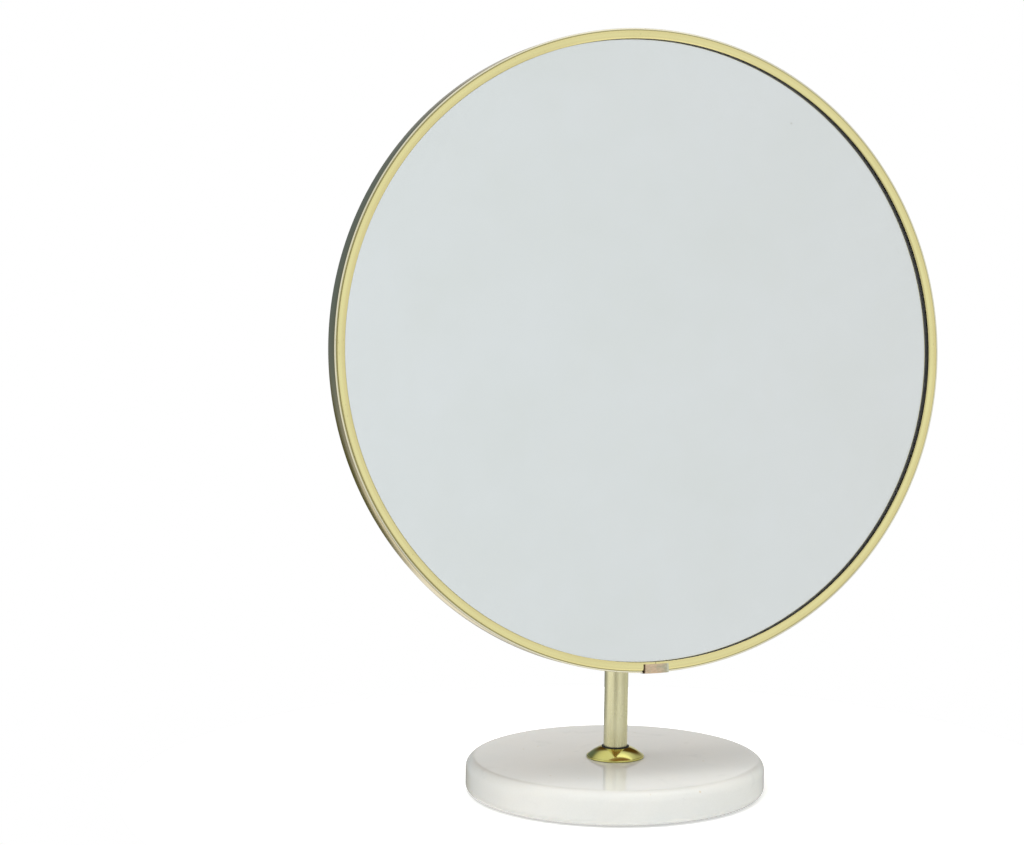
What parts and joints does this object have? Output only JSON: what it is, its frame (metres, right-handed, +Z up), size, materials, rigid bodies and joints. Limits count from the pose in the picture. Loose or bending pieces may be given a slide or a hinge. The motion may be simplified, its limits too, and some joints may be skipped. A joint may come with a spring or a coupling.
{
  "type": "countertop mirror",
  "caption": "Round tilting table mirror: plate glass in a slim gilt channel frame with a veneered wooden back, on a metal post with a domed collar and a marble disc foot.",
  "frame": {"origin": "middle of the underside of the foot, on the table", "axes": "+Z up along the post, -Y the way the glass faces, +X along the tilt axis to the side of the clamp knob"},
  "size_m": [0.4572, 0.22, 0.5587],
  "materials": {
    "marble": "polished, faint warm veining",
    "felt": "pressed wool felt",
    "collar_brass": "polished, lacquered",
    "black_fibre": "dull",
    "post_gilt": "satin gold anodised",
    "frame_gilt": "bright gold anodised, brushed rim",
    "clip_metal": "tarnished, pinkish brown",
    "joint_strip": "mill finish",
    "plate_glass": "clear, polished",
    "silvering": "silvered front, painted back",
    "card": "plain",
    "plywood": "bare plywood",
    "teak_veneer": "satin oil, straight grain",
    "plate_metal": "satin, blank",
    "steel": "zinc plated",
    "turned_brass": "machined",
    "hinge_brass": "satin lacquered",
    "brown_fibre": "vulcanised fibre"
  },
  "bodies": {
    "stand": {"marble_base": "marble", "base_felt": "felt", "foot_collar": "collar_brass", "foot_washer": "black_fibre", "post_tube": "post_gilt", "foot_bush": "turned_brass", "post_head": "hinge_brass", "tie_rod": "steel", "clamp_washer": "steel", "lock_washer": "steel", "clamp_nut": "steel"},
    "head": {"frame_ring": "frame_gilt", "joint_clip": "clip_metal", "joint_tongue": "joint_strip", "glazing_strip": "black_fibre", "mirror_glass": "plate_glass", "silver_coat": "silvering", "backing_card": "card", "back_board": "plywood", "back_veneer": "teak_veneer", "maker_plate": "plate_metal", "plate_pins": "turned_brass", "pivot_bracket": "hinge_brass", "bracket_screws": "turned_brass", "pivot_screw": "turned_brass", "friction_washers": "brown_fibre", "spring_washer": "steel"},
    "knob": {"clamp_knob": "collar_brass", "knob_insert": "turned_brass"}
  },
  "joints": [
    {"name": "head_tilt", "type": "hinge", "parent": "stand", "child": "head", "pos_m": [0, 0, 0.3255], "axis": [-1, 0, 0], "range_deg": [-12.5, 60]},
    {"name": "knob_turn", "type": "hinge", "parent": "head", "child": "knob", "pos_m": [0, 0, 0.3255], "axis": [-1, 0, 0], "range_deg": [0, 270]}
  ]
}
